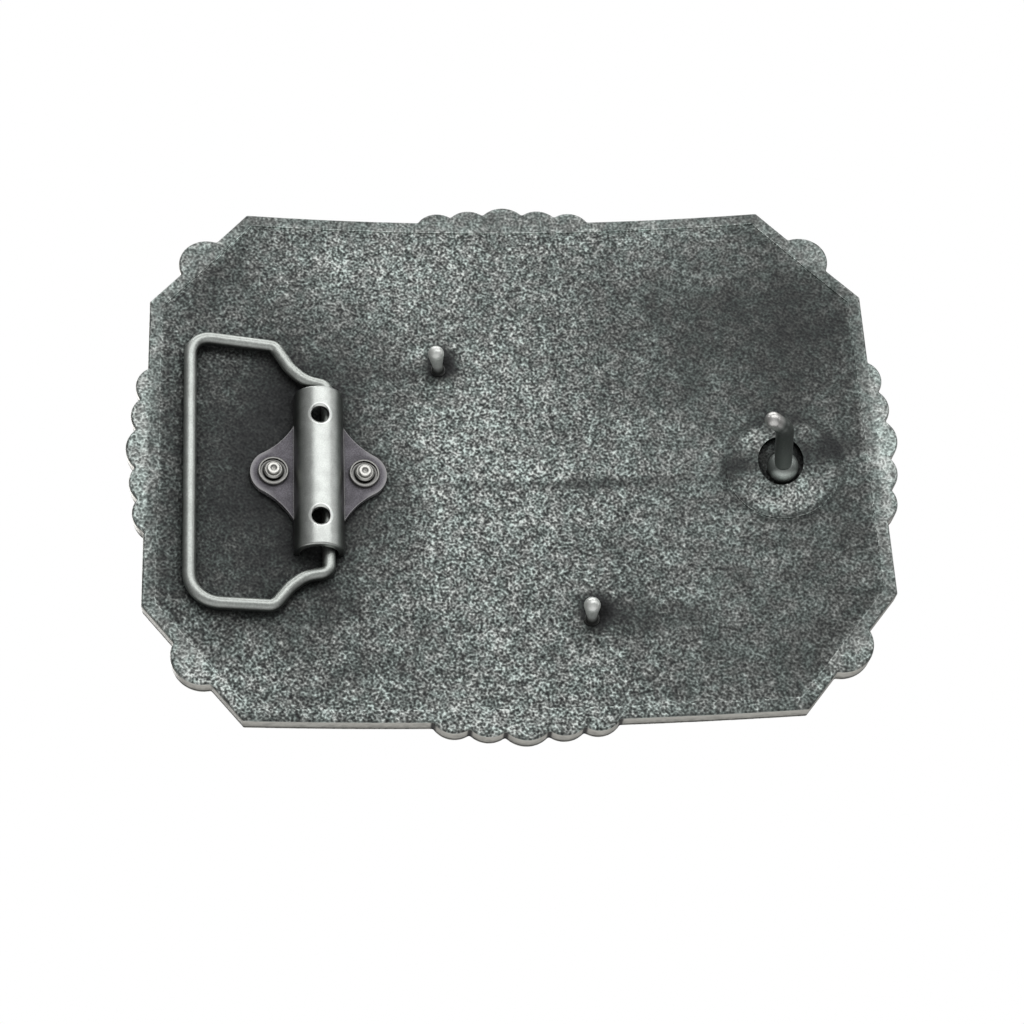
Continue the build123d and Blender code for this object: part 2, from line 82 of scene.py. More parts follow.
# ---- tone of the plate: level = DARKEST * TONE_RANGE ** wear, with wear mostly 0 to 1 ----
DARKEST = 0.046
TONE_RANGE = 7.0
LEAST_WEAR = -0.6
MOST_WEAR = 1.45
PLAIN_WEAR = 0.52
PLATE_TONES_AND_SHEEN = (              # x, z, half width, half height, gain in wear; some gains are painted sheen
    (5, -2, 34, 66, 0.38),       # painted sheen down the middle: the curved back's reflection of the broad light
    (0, 44, 70, 26, 0.16),       # top edge
    (26, 32, 24, 14, 0.24),      # below the top edge, on the bale's side
    (-26, 38, 26, 14, 0.14),     # the same on the hook's side
    (0, -46, 70, 28, 0.20),      # bottom edge
    (-20, -28, 24, 12, 0.10),
    (44, -36, 26, 14, 0.20),     # bottom corner below the bale
    (34, -4, 24, 30, -0.42),     # dull inside the bale
    (24, 14, 14, 14, -0.14),     # dull round the bracket
    (22, -8, 10, 14, -0.16),
    (-42, 16, 27, 27, -0.22),    # dull above the hook
    (-30, -6, 28, 34, 0.25),     # round the hook
    (-38, -12, 16, 12, -0.06),
    (-52, 0, 10, 34, 0.08),      # the hook's end of the plate
)
PLATE_SMEARS = (             # x, z, half width, half height, loss of wear
    (11, 15.2, 12, 3.0, 0.25),       # beside and behind the upper peg
    (10.4, 16.6, 3.6, 4.0, 1.20),
    (-16, -26, 15, 4.6, 0.32),       # beside and behind the lower peg
    (-10.9, -24.8, 3.7, 4.2, 1.20),
    (-8, -4.4, 34, 1.6, 0.30),       # line across the middle
    (-48, -0.5, 8, 3.4, 0.30),       # either side of the hook's well
    (-33, -2.6, 5, 2.6, 0.36),
    (33, 11, 9, 9, 0.25),            # above the bracket
)
BOSS_SPECKLE = (             # bright worn grain round the hook, same columns as PLATE_TONES_AND_SHEEN
    (-35.8, 2.4, 4.6, 4.0, 0.45),
    (-40.5, -8.0, 11, 6.8, 0.50),
    (-44.2, 3.2, 3.4, 3.4, 0.30),
)

# ---- tints of the metal, which its level then darkens ----
PALE = (0.95, 1.0, 0.96, 1)
GREENISH = (0.87, 1.0, 0.95, 1)
BLUISH = (0.95, 0.98, 1.0, 1)
WARM = (1.0, 0.98, 0.90, 1)
TUNNEL_TINT = (0.96, 1.0, 0.96, 1)
EAR_TINT = (1.0, 0.95, 1.06, 1)
EAR_RUB_TINT = (1.0, 1.0, 0.98, 1)
HOOK_TINT = (0.92, 1.0, 0.95, 1)
HOOK_TIP_TINT = (1.0, 0.99, 0.96, 1)
HOLLOW_TINT = (0.86, 0.92, 0.95, 1)
CREST_TINT = (1.0, 0.99, 0.95, 1)
RIVET_TINT = (1.0, 0.99, 0.94)
WASHER_TINT = (1.0, 0.99, 0.95)
WIRE_TINT = (0.95, 1.0, 0.95)
PEG_TINT = (0.97, 1.0, 0.96)

RIVET_RINGS = (              # outwards from the axis: start, where the level is reached, level
    (0.46, 0.58, 0.80),          # knob
    (0.92, 1.02, 0.30),          # painted shade in the groove round the knob
    (1.06, 1.20, 0.62),          # head
    (1.36, 1.46, 0.14),          # painted shade where the head meets the washer
)
WIRE_SHADE_SIDE = (-0.30, -0.35, -0.89)   # the side of the bale's wire painted in shade: down and inwards

# ---- front ornament; insets are from the octagon's edge ----
ROPE_STRANDS = 3
ROPE_SIDES = 12
ROPE_STEP = 0.28
ROPE_PITCH = 1.3             # length of rope from one strand to the next
ROPE_LOBE = 0.24
ROPE_INSET = 9.35
ROPE_RADIUS = 0.52
BEAD_INSET = 6.7
BEAD_SPACING = 1.55
BEAD_RADIUS = 0.58
MEDALLION_HALF = (17.0, 12.5)
MEDALLION_HEIGHT = 0.45
MEDALLION_FALL = 0.9         # share of the height's square lost at the rim
MEDALLION_RAYS = 32
MEDALLION_FLUTE = 0.22
MEDALLION_SUNK = 0.1         # depth of its underside in the panel
MEDALLION_RINGS = 14
MEDALLION_SPOKES = 192
MEDALLION_ROPE_HALF = (17.6, 13.1)
MEDALLION_ROPE_RADIUS = 0.62
MEDALLION_ROPE_LIFT = 0.15
MEDALLION_ROPE_CORNERS = 240

# ---- camera: behind and below the buckle, in metres ----
CAMERA_PLACE = Vector((0.02543, 0.29391, -0.14702))
CAMERA_LOOK = Vector((-0.0758, -0.9022, 0.4246))
CAMERA_UP = Vector((-0.0136, 0.4267, 0.9043))
CAMERA_LENS = 77.34
CAMERA_SENSOR = 36.0

# ---- light that the metal mirrors, and softboxes with places and sizes in metres ----
WORLD_MIDDLE = 0.36
WORLD_SIDES = 0.12
WORLD_BELOW = 0.35
SOFTBOXES = (                # name, place, size, power in watts
    ("key_softbox", (-0.15, 0.50, 0.26), (0.90, 0.30), 1.10),
    ("right_softbox", (-0.56, 0.10, 0.16), (0.30, 0.40), 0.22),
    ("top_softbox", (0.0, 0.10, 0.50), (0.60, 0.30), 0.80),
    ("front_softbox", (0.22, -0.50, 0.22), (0.60, 0.35), 1.20),
)
FLOOR_HALF_SIZE = 3.0        # metres
FLOOR_COLOR = (0.85, 0.85, 0.85, 1)


class Shader:
    """One material's nodes. Every call returns the output socket that the next call takes."""

    def __init__(self, name):
        self.material = bpy.data.materials.new(name)
        self.material.use_nodes = True
        self.tree = self.material.node_tree
        self.tree.nodes.clear()
        coordinates = self.tree.nodes.new("ShaderNodeTexCoord").outputs["Object"]
        self.place = self.vector("SCALE", coordinates, scale=1000.0)
        split = self.tree.nodes.new("ShaderNodeSeparateXYZ")
        self.connect(split.inputs[0], self.place)
        self.x, self.y, self.z = split.outputs

    def connect(self, socket, value):
        if isinstance(value, bpy.types.NodeSocket):
            self.tree.links.new(value, socket)
        else:
            socket.default_value = value

    def node(self, kind, inputs, output=0, **settings):
        node = self.tree.nodes.new(kind)
        for name, value in settings.items():
            setattr(node, name, value)
        for name, value in inputs.items():
            self.connect(node.inputs[name], value)
        return node.outputs[output]

    def vector(self, operation, a, b=None, scale=None):
        inputs = {0: a}
        if b is not None:
            inputs[1] = b
        if scale is not None:
            inputs["Scale"] = scale
        output = "Value" if operation in ("DOT_PRODUCT", "DISTANCE") else "Vector"
        return self.node("ShaderNodeVectorMath", inputs, output, operation=operation)

    def math(self, operation, a, b=0.0, c=0.0):
        return self.node("ShaderNodeMath", {0: a, 1: b, 2: c}, operation=operation)

    def add(self, first, *others):
        for other in others:
            first = self.math("ADD", first, other)
        return first

    def multiply(self, first, *others):
        for other in others:
            first = self.math("MULTIPLY", first, other)
        return first

    def apart(self, a, b):
        """How far two values lie apart."""
        return self.math("ABSOLUTE", self.math("SUBTRACT", a, b))

    def length(self, a, b):
        """Length of the flat vector (a, b)."""
        return self.math("SQRT", self.math("MULTIPLY_ADD", a, a, self.math("MULTIPLY", b, b)))

    def ramp(self, value, low, high, out_low=0.0, out_high=1.0, smooth=True):
        """value from low to high, mapped to out_low to out_high and held there outside."""
        inputs = {
            "Value": value, "From Min": low, "From Max": high,
            "To Min": out_low, "To Max": out_high,
        }
        kind = "SMOOTHSTEP" if smooth else "LINEAR"
        return self.node("ShaderNodeMapRange", inputs, interpolation_type=kind, clamp=True)

    def noise(self, scale, detail=2.0, roughness=0.5, at=None):
        inputs = {
            "Vector": self.place if at is None else at,
            "Scale": scale, "Detail": detail, "Roughness": roughness,
        }
        return self.node("ShaderNodeTexNoise", inputs, "Fac")

    def centred(self, noise):
        """Noise moved to lie evenly round 0."""
        return self.math("SUBTRACT", noise, 0.5)

    def mottle(self, noise, low, high):
        """Levels from low to high over the noise's usual range."""
        return self.ramp(noise, 0.3, 0.7, low, high)

    def mixed(self, kind, first_input, output, factor, a, b):
        node = self.tree.nodes.new("ShaderNodeMix")
        node.data_type = kind
        self.connect(node.inputs["Factor"], factor)
        self.connect(node.inputs[first_input], a)
        self.connect(node.inputs[first_input + 1], b)
        return node.outputs[output]

    def color(self, factor, a, b):
        return self.mixed("RGBA", 6, 2, factor, a, b)

    def blend(self, factor, a, b):
        return self.mixed("FLOAT", 2, 0, factor, a, b)

    def spot(self, x, z, across, up):
        """1 at (x, z) on the plate, falling smoothly to 0 on an ellipse of the given half sizes."""
        sideways = self.math("DIVIDE", self.math("SUBTRACT", self.x, x), across)
        upwards = self.math("DIVIDE", self.math("SUBTRACT", self.z, z), up)
        return self.ramp(self.length(sideways, upwards), 0.0, 1.0, 1.0, 0.0)

    def contact(self, distance, low, high, dark):
        """Painted shade: 1 on open surfaces, down to dark in corners and gaps to other parts
        narrower than the distance.
        """
        inputs = {"Distance": distance * MM}
        open_share = self.node("ShaderNodeAmbientOcclusion", inputs, "AO", samples=4)
        return self.ramp(open_share, low, high, dark, 1.0)

    def distance(self, x, z):
        """Distance from an axis through (x, z) at right angles to the plate."""
        place = self.node("ShaderNodeCombineXYZ", {0: self.x, 1: 0.0, 2: self.z})
        return self.vector("DISTANCE", place, (x, 0.0, z))

    def edge_wear(self, radius):
        """0 on open faces, rising at edges sharper than the radius."""
        soft = self.node("ShaderNodeBevel", {"Radius": radius * MM}, samples=4)
        sharp = self.node("ShaderNodeNewGeometry", {}, "True Normal")
        return self.math("SUBTRACT", 1.0, self.vector("DOT_PRODUCT", soft, sharp))

    def finish(self, tint, level, metallic, roughness, height, relief):
        """Surface of the tint at the level; the height is a bump, relief millimetres deep."""
        bump = {"Height": height, "Distance": relief * MM, "Strength": 1.0}
        inputs = {
            "Base Color": self.vector("SCALE", tint, scale=level),
            "Metallic": metallic,
            "Roughness": roughness,
            "Normal": self.node("ShaderNodeBump", bump, "Normal"),
        }
        surface = self.node("ShaderNodeBsdfPrincipled", inputs)
        output = self.tree.nodes.new("ShaderNodeOutputMaterial")
        self.tree.links.new(surface, output.inputs["Surface"])
        return self.material


def plate_depth(s):
    """Radius from the axis that the plate curves round, larger towards the front."""
    return s.length(s.x, s.math("SUBTRACT", s.y, BACK_RADIUS))


def octagon_distance(s):
    """Distance beyond the plain octagon's edge, negative inside."""
    width, height = s.math("ABSOLUTE", s.x), s.math("ABSOLUTE", s.z)
    cut_x, cut_z = HALF_WIDTH - CORNER_X, HALF_HEIGHT - CORNER_Z
    cut_length = hypot(cut_x, cut_z)
    side = s.math("SUBTRACT", width, HALF_WIDTH)
    top = s.math("SUBTRACT", height, HALF_HEIGHT)
    slant = s.math("MULTIPLY", s.math("SUBTRACT", width, CORNER_X), cut_z / cut_length)
    cut = s.math("MULTIPLY_ADD", top, cut_x / cut_length, slant)
    return s.math("MAXIMUM", s.math("MAXIMUM", side, top), cut)


def add_spots(s, value, spots, sign=1):
    for x, z, across, up, amount in spots:
        value = s.math("MULTIPLY_ADD", s.spot(x, z, across, up), sign * amount, value)
    return value


def on_band(s, edge):
    """1 on the plain band round the back, 0 on the field."""
    return s.ramp(edge, BAND_EDGE - 0.9, BAND_EDGE + 0.5)


def band_sheen(s, edge):
    """Painted sheen on the band: lighter on its sides and at the plate's two ends than at top and
    bottom, with a painted bright line on the small step inside the band.
    """
    width, height = s.math("ABSOLUTE", s.x), s.math("ABSOLUTE", s.z)
    band = s.multiply(on_band(s, edge), s.ramp(height, 38.0, 41.0, 0.30, 0.08))
    ends = s.multiply(s.ramp(edge, -0.9, 0.3), s.ramp(width, 46.0, 53.0, 0.0, 0.30))
    # Painted bright line on the small step inside the band.
    on_step = s.ramp(s.apart(edge, BAND_EDGE), 0.04, 0.14, 1.0, 0.0)
    step = s.multiply(on_step, s.ramp(s.z, 30.0, 36.0, 0.15, 0.36))
    return s.add(band, ends, step)


def boss_wear_and_sheen(s, from_hook):
    """Bright worn speckle on the hook's boss, a dull ring round it and painted sheen on the lower
    side of its step.
    """
    on_boss = s.ramp(from_hook, HOOK_BOSS_RADIUS - 1.0, HOOK_BOSS_RADIUS, 1.0, 0.0)
    speckle = s.multiply(on_boss, add_spots(s, -0.10, BOSS_SPECKLE))
    from_rim = s.apart(from_hook, HOOK_BOSS_RADIUS)
    ring = s.ramp(from_rim, 0.2, 1.3, -0.18, 0.0)
    # Painted sheen: the boss's step is lighter only below the hook.
    below = s.ramp(s.z, HOOK[1], HOOK[1] - 4.0)
    step = s.multiply(s.ramp(from_rim, 0.05, 0.25, 0.32, 0.0), below)
    return s.add(speckle, ring, step)


def plate_wear_and_sheen(s, edge, from_hook):
    """How far the dark patina is worn off the back, plus painted sheen: 0 dull, 1 bright."""
    wear = add_spots(s, PLAIN_WEAR, PLATE_TONES_AND_SHEEN)
    stretched = s.node("ShaderNodeMapping", {"Vector": s.place, "Scale": (0.05, 0.05, 0.30)})
    streak = s.centred(s.noise(1.0, detail=3.0, at=stretched))
    wear = s.math("MULTIPLY_ADD", streak, 0.22, wear)
    cloud = s.centred(s.noise(0.16, detail=3.0, roughness=0.6))
    wear = s.math("MULTIPLY_ADD", cloud, 0.60, wear)
    wear = s.add(wear, band_sheen(s, edge), boss_wear_and_sheen(s, from_hook))
    return add_spots(s, wear, PLATE_SMEARS, -1)


def grain_contrast(s, wear, edge):
    """How strongly the grain shows: most where worn, less on the band and round the hook."""
    contrast = s.ramp(wear, 0.15, 1.0, 0.75, 2.9, smooth=False)
    smooth_band = s.multiply(on_band(s, edge), s.ramp(s.z, -38.0, -30.0))
    contrast = s.multiply(contrast, s.ramp(smooth_band, 0.0, 1.0, 1.0, 0.62))
    return s.multiply(contrast, s.ramp(s.x, -10.0, -30.0, 1.0, 0.80))


def on_panel(s, depth):
    """1 on the front's middle panel."""
    return s.ramp(s.apart(depth, PANEL_RADIUS), 0.08, 0.14, 1.0, 0.0)


def engraving(s, depth):
    """Shallow scrolls cut in the front's middle panel: 0 plain, 1 cut."""
    inputs = {
        "Vector": s.place, "Scale": 0.12, "Distortion": 22.0,
        "Detail": 0.0, "Detail Scale": 1.3,
    }
    swirl = s.node("ShaderNodeTexWave", inputs, 1, wave_type="RINGS", rings_direction="Y")
    cut = s.ramp(s.apart(swirl, 0.5), 0.10, 0.24, 1.0, 0.0)
    return s.multiply(cut, on_panel(s, depth))


def front_wear(s, depth, scrolls):
    """Front: dark antiqued field, satin panel with cut scrolls, polished frame, rim and petals."""
    wear = s.ramp(depth, FRONT_RADIUS + 0.05, FRONT_RADIUS + 0.65, 0.42, MOST_WEAR)
    wear = s.math("MULTIPLY_ADD", on_panel(s, depth), 0.24, wear)
    return s.math("MULTIPLY_ADD", scrolls, -0.60, wear)


def well_shade(s, depth, from_hook, front):
    """Dark inside the hook's well, 1 elsewhere."""
    below_back = s.ramp(depth, BACK_RADIUS + 0.02, BACK_RADIUS + 0.2)
    near_hook = s.ramp(from_hook, HOOK_WELL_REACH, HOOK_WELL_REACH + 0.6, 1.0, 0.0)
    inside = s.multiply(below_back, near_hook, s.math("SUBTRACT", 1.0, front))
    return s.ramp(inside, 0.0, 1.0, 1.0, 0.45)


def notch_shade(s):
    """Black left in the notches of the top and bottom fans, 1 elsewhere."""
    width = s.math("ABSOLUTE", s.x)
    nearest = HALF_WIDTH
    for notch in FAN_NOTCHES:
        nearest = s.math("MINIMUM", s.apart(width, notch), nearest)
    at_notch = s.ramp(nearest, 0.10, 0.60, 1.0, 0.0)
    on_fan = s.ramp(s.math("ABSOLUTE", s.z), HALF_HEIGHT - 1.1, HALF_HEIGHT - 0.6)
    return s.ramp(s.multiply(at_notch, on_fan), 0.0, 1.0, 1.0, 0.04)


def contact_shade(s, edge, from_hook, wall):
    """Dark where another part comes close, but not at the small steps of the band and the boss."""
    step = s.ramp(s.apart(edge, BAND_EDGE), 0.3, 0.7, 1.0, 0.0)
    boss = s.ramp(s.apart(from_hook, HOOK_BOSS_RADIUS), 0.5, 1.1, 1.0, 0.0)
    shade = s.contact(3.2, 0.30, 0.90, 0.10)
    shade = s.blend(s.math("MAXIMUM", step, boss), shade, 1.0)
    return s.blend(wall, shade, notch_shade(s))


def silver_tint(s, wear, wall):
    """Pale and greenish patches where worn, bluish where dull, warm on the walls."""
    patch = s.ramp(s.noise(0.45), 0.35, 0.65)
    tint = s.color(patch, PALE, GREENISH)
    tint = s.color(s.ramp(wear, 0.0, 0.5), BLUISH, tint)
    return s.color(wall, tint, WARM)


def cast_silver():
    """Speckled antiqued silver of the plate, with painted sheen and painted shade near other parts.
    """
    s = Shader("cast_silver")
    depth = plate_depth(s)
    edge = octagon_distance(s)
    from_hook = s.distance(*HOOK)
    scrolls = engraving(s, depth)
    beyond_back = s.ramp(depth, BACK_RADIUS - 0.14, BACK_RADIUS + 0.1)
    wall = s.multiply(beyond_back, s.ramp(edge, -1.2, -0.3))
    front = s.ramp(depth, FRONT_RADIUS - 0.15, FRONT_RADIUS - 0.05)
    smooth = s.math("MAXIMUM", wall, front)

    turned = s.node("ShaderNodeMapping", {"Vector": s.place, "Rotation": (0.5, 0.7, 0.3)})
    fine = s.centred(s.noise(2.6, detail=0.6, at=turned))
    coarse = s.centred(s.noise(1.0, detail=1.0, at=turned))
    grain = s.math("MULTIPLY_ADD", coarse, -0.35, fine)

    wear = plate_wear_and_sheen(s, edge, from_hook)
    contrast = s.multiply(grain_contrast(s, wear, edge), s.ramp(smooth, 0.0, 1.0, 1.0, 0.15))
    wear = s.math("MULTIPLY_ADD", grain, contrast, wear)
    # Walls round the edge: worn smooth, with painted sheen standing in for light from below,
    # strongest at the back edge and fading towards the front.
    wall_wear_and_sheen = s.ramp(depth, BACK_RADIUS + 0.1, BACK_RADIUS + 2.9, 1.48, 1.10)
    wear = s.blend(wall, wear, s.math("MULTIPLY_ADD", coarse, 0.5, wall_wear_and_sheen))
    ornament_wear = front_wear(s, depth, scrolls)
    wear = s.blend(front, wear, s.math("MULTIPLY_ADD", coarse, 0.5, ornament_wear))
    wear = s.math("MINIMUM", s.math("MAXIMUM", wear, LEAST_WEAR), MOST_WEAR)

    level = s.multiply(s.math("POWER", TONE_RANGE, wear), DARKEST)
    level = s.multiply(level, well_shade(s, depth, from_hook, front))
    level = s.multiply(level, contact_shade(s, edge, from_hook, wall))
    height = s.multiply(grain, s.ramp(smooth, 0.0, 1.0, 1.0, 0.2))
    height = s.math("MULTIPLY_ADD", scrolls, -0.8, height)
    roughness = s.ramp(wear, 0.2, 1.2, 0.62, 0.38)
    return s.finish(silver_tint(s, wear, wall), level, 0.8, roughness, height, 0.14)


def bracket_place(s):
    """Across the bracket from its middle, and up along it."""
    arm = s.vector("SUBTRACT", s.place, BRACKET_MIDDLE)
    across = s.vector("DOT_PRODUCT", arm, BRACKET_ACROSS)
    return across, s.math("SUBTRACT", s.z, BRACKET_MIDDLE[2])


def tunnel_level(s, across, up, fine, cloud):
    """Satin tunnel with painted shade darkening its curving sides; crest holes with bright bevels
    and painted black shade inside.
    """
    from_crest_hole = s.math("SUBTRACT", s.math("ABSOLUTE", up), CREST_HOLE_OFFSET)
    from_hole = s.length(across, from_crest_hole)
    bevel = s.ramp(from_hole, CREST_HOLE_RADIUS + 0.35, CREST_HOLE_RADIUS + 0.55, 1.0, 0.0)
    # Painted shade: black inside the crest holes.
    inside = s.ramp(from_hole, CREST_HOLE_RADIUS - 0.08, CREST_HOLE_RADIUS + 0.04, 1.0, 0.0)
    # Painted shade: the tunnel grows darker as its sides curve away.
    turn = s.ramp(s.math("ABSOLUTE", across), 1.9, TUNNEL_HALF_WIDTH - 0.1, 1.0, 0.30)
    level = s.multiply(s.mottle(cloud, 0.60, 0.74), turn, s.mottle(fine, 0.90, 1.05))
    level = s.blend(bevel, level, 1.0)
    return s.blend(inside, level, 0.04)


def ear_rub(s, side, up):
    """1 on rubbed edges of the ears, 0 on their flats."""
    from_centre = s.length(s.math("SUBTRACT", side, EAR_CENTRE), up)
    rim = s.ramp(from_centre, EAR_RADIUS - 0.75, EAR_RADIUS - 0.1)
    rim = s.multiply(rim, s.ramp(side, 6.0, 8.0), 0.6)
    return s.math("MAXIMUM", rim, s.ramp(s.edge_wear(0.25), 0.01, 0.12))


def pressed_steel():
    """Bracket: satin tunnel, dull purplish ears with worn edges."""
    s = Shader("pressed_steel")
    across, up = bracket_place(s)
    side = s.math("ABSOLUTE", across)
    ear = s.ramp(side, TUNNEL_HALF_WIDTH - 0.05, TUNNEL_HALF_WIDTH + 0.12)
    fine = s.noise(5.5)
    cloud = s.noise(0.5, detail=3.0)
    rub = ear_rub(s, side, up)
    ear_level = s.multiply(s.mottle(fine, 0.15, 0.24), s.ramp(cloud, 0.35, 0.65, 0.85, 1.15))
    ear_level = s.blend(rub, ear_level, 0.55)
    level = s.blend(ear, tunnel_level(s, across, up, fine, cloud), ear_level)
    # Painted shade in corners and near other parts.
    level = s.multiply(level, s.contact(1.5, 0.25, 0.85, 0.12))
    tint = s.color(ear, TUNNEL_TINT, EAR_TINT)
    tint = s.color(rub, tint, EAR_RUB_TINT)
    metallic = s.ramp(ear, 0, 1, 1.0, 0.6)
    roughness = s.ramp(ear, 0, 1, 0.33, 0.60)
    return s.finish(tint, level, metallic, roughness, fine, 0.02)


def from_rivet(s):
    """Distance from the nearer rivet's axis, measured on the bracket's seat."""
    across, up = bracket_place(s)
    return s.length(s.math("SUBTRACT", s.math("ABSOLUTE", across), RIVET_OFFSET), up)


def rivet_nickel():
    """Rivet: painted shade where the head meets its cup, in the groove round the knob and round the
    rim of its dimple; bright ring round the dimpled knob.
    """
    s = Shader("rivet_nickel")
    out = from_rivet(s)
    fine = s.noise(6.0)
    # Painted shade round the rim of the knob's dimple.
    level = s.ramp(out, 0.22, 0.34, 0.78, 0.34)
    for start, reached, ring_level in RIVET_RINGS:
        level = s.blend(s.ramp(out, start, reached), level, ring_level)
    # Painted shade in corners and near other parts.
    level = s.multiply(level, s.contact(0.7, 0.2, 0.8, 0.25), s.mottle(fine, 0.85, 1.0))
    return s.finish(RIVET_TINT, level, 1.0, 0.36, fine, 0.02)


def washer_nickel():
    """Cupped washer: bright lip, painted black shade on its floor round the rivet head."""
    s = Shader("washer_nickel")
    fine = s.noise(6.0)
    # Painted shade: the floor round the rivet head near black, darker still near other parts.
    level = s.ramp(from_rivet(s), 1.50, 1.85, 0.03, 0.30)
    level = s.multiply(level, s.mottle(fine, 0.80, 1.0), s.contact(0.6, 0.1, 0.6, 0.3))
    return s.finish(WASHER_TINT, level, 1.0, 0.30, fine, 0.02)


def hook_steel():
    """Hook: bright rubbed tip, dark greenish shank, painted sheen on the lower side of its foot."""
    s = Shader("hook_steel")
    fine = s.noise(4.0)
    from_tip = s.vector("SUBTRACT", s.place, HOOK_TIP)
    tip = s.ramp(s.vector("DOT_PRODUCT", from_tip, HOOK_TIP_AXIS), -1.0, 0.5)
    # Painted sheen: the foot is lighter only on its lower side, below the hook's axis.
    low_down = s.ramp(s.y, HOOK_FOOT_TOP, HOOK_FOOT_TOP + 0.7, 1.0, 0.0)
    foot = s.multiply(low_down, s.ramp(s.z, HOOK[1] - 0.9, HOOK[1] - 1.5))
    level = s.ramp(s.y, 4.0, 15.0, 0.36, 0.17)
    level = s.blend(foot, level, 0.85)
    level = s.blend(tip, level, 0.80)
    # Painted shade near the plate and in corners.
    level = s.multiply(level, s.mottle(fine, 0.88, 1.06), s.contact(1.5, 0.2, 0.8, 0.25))
    tint = s.color(tip, HOOK_TINT, HOOK_TIP_TINT)
    return s.finish(tint, level, 0.9, s.ramp(tip, 0, 1, 0.46, 0.34), fine, 0.02)


def antiqued_wire():
    """Bale: wire rubbed bright, with painted shade on its underside and near other parts."""
    s = Shader("antiqued_wire")
    fine = s.noise(3.5, detail=3.0)
    cloud = s.noise(0.35, detail=3.0, roughness=0.6)
    facing = s.node("ShaderNodeNewGeometry", {}, "Normal")
    toward_shade = s.vector("DOT_PRODUCT", facing, WIRE_SHADE_SIDE)
    level = s.multiply(s.mottle(cloud, 0.57, 0.68), s.mottle(fine, 0.86, 1.06))
    # Painted shade on the wire's side facing down and inwards.
    level = s.multiply(level, s.ramp(toward_shade, 0.15, 0.80, 1.0, 0.22))
    # Painted shade near the plate and the bracket.
    level = s.multiply(level, s.contact(1.2, 0.15, 0.60, 0.30))
    return s.finish(WIRE_TINT, level, 1.0, 0.38, fine, 0.025)


def peg_silver():
    """Belt peg: head and neck rubbed bright, black patina left on the foot."""
    s = Shader("peg_silver")
    fine = s.noise(3.5, detail=3.0)
    height = s.math("SUBTRACT", BACK_RADIUS, plate_depth(s))
    level = s.multiply(s.ramp(height, 0.6, 2.4, 0.05, 1.0), s.mottle(fine, 0.90, 1.05))
    return s.finish(PEG_TINT, level, 0.55, 0.32, fine, 0.02)


def polished_silver():
    """Raised ornament of the front: bright crests, hollows darkened by antiquing and painted shade.
    """
    s = Shader("polished_silver")
    fine = s.noise(3.0, detail=3.0)
    cloud = s.noise(0.25, detail=3.0, roughness=0.6)
    # Antiquing and painted shade in the hollows and where the ornament meets the plate.
    open_face = s.contact(0.8, 0.35, 0.85, 0.06)
    level = s.multiply(open_face, s.mottle(cloud, 0.55, 0.78))
    tint = s.color(open_face, HOLLOW_TINT, CREST_TINT)
    return s.finish(tint, level, 1.0, s.mottle(fine, 0.20, 0.34), fine, 0.02)


def front_point(x, z, radius):
    """The point at (x, z) on the radius from the axis that the plate curves round, in metres."""
    return Vector((x, BACK_RADIUS - sqrt(radius**2 - x**2), z)) * MM


def front_normal(x):
    turn = atan2(x, BACK_RADIUS)
    return Vector((sin(turn), -cos(turn), 0.0))


def octagon_corners(inset):
    """Corners of the plain octagon drawn in by the inset, in order."""
    cut_x, cut_z = HALF_WIDTH - CORNER_X, HALF_HEIGHT - CORNER_Z
    normal_x, normal_z = cut_z / hypot(cut_x, cut_z), cut_x / hypot(cut_x, cut_z)
    reach = normal_x * CORNER_X + normal_z * HALF_HEIGHT - inset
    top, side = HALF_HEIGHT - inset, HALF_WIDTH - inset
    top_x = (reach - normal_z * top) / normal_x
    side_z = (reach - normal_x * side) / normal_z
    quarter = [(top_x, top), (side, side_z)]
    right = quarter + [(x, -z) for x, z in reversed(quarter)]
    return right + [(-x, z) for x, z in reversed(right)]


def walk(corners, step):
    """Evenly spaced points round a closed outline, about one step apart."""
    edges = list(zip(corners, corners[1:] + corners[:1]))
    lengths = [hypot(b[0] - a[0], b[1] - a[1]) for a, b in edges]
    count = round(sum(lengths) / step)
    spacing = sum(lengths) / count
    points, edge, start = [], 0, 0.0
    for i in range(count):
        while i * spacing - start > lengths[edge]:
            start += lengths[edge]
            edge += 1
        share = (i * spacing - start) / lengths[edge]
        a, b = edges[edge]
        points.append((a[0] + (b[0] - a[0]) * share, a[1] + (b[1] - a[1]) * share))
    return points


def oval(half_x, half_z, count):
    turns = [2 * pi * i / count for i in range(count)]
    return [(half_x * cos(turn), half_z * sin(turn)) for turn in turns]


def new_piece(name, vertices, faces, material):
    """A smooth mesh that rides with the plate."""
    mesh = bpy.data.meshes.new(name)
    mesh.from_pydata(vertices, [], faces)
    mesh.materials.append(material)
    mesh.shade_smooth()
    piece = bpy.data.objects.new(name, mesh)
    bpy.context.scene.collection.objects.link(piece)
    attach(piece, "buckle")


